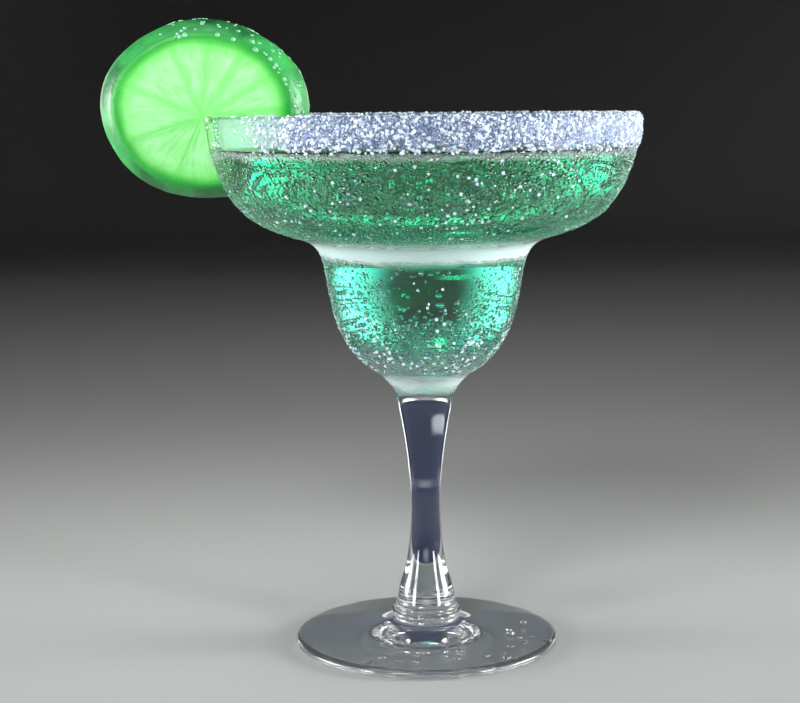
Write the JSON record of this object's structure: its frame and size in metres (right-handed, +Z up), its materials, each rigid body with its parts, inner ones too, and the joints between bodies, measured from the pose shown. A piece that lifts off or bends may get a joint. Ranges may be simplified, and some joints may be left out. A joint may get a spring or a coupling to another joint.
{
  "type": "margarita cocktail",
  "caption": "Stemmed glass with a wide bowl stepped down into a cup, full of a green drink, with a salted lip and a wheel of lime slit onto the rim.",
  "frame": {"origin": "on the glass's axis at the underside of its foot", "axes": "+Z up along the glass's axis, -X towards the lime on the rim, -Y towards the viewer, out of the lime's better face"},
  "size_m": [0.1465, 0.1181, 0.1719],
  "materials": {
    "glass": "clear pressed glass",
    "drink": "clear green liquid",
    "salt": "coarse salt crystals",
    "lime": "wet cut fruit with a smooth green rind"
  },
  "bodies": {
    "root": {"glass": "glass", "drink": "drink", "salt_rim": "salt", "lime_wheel": "lime"}
  },
  "joints": []
}
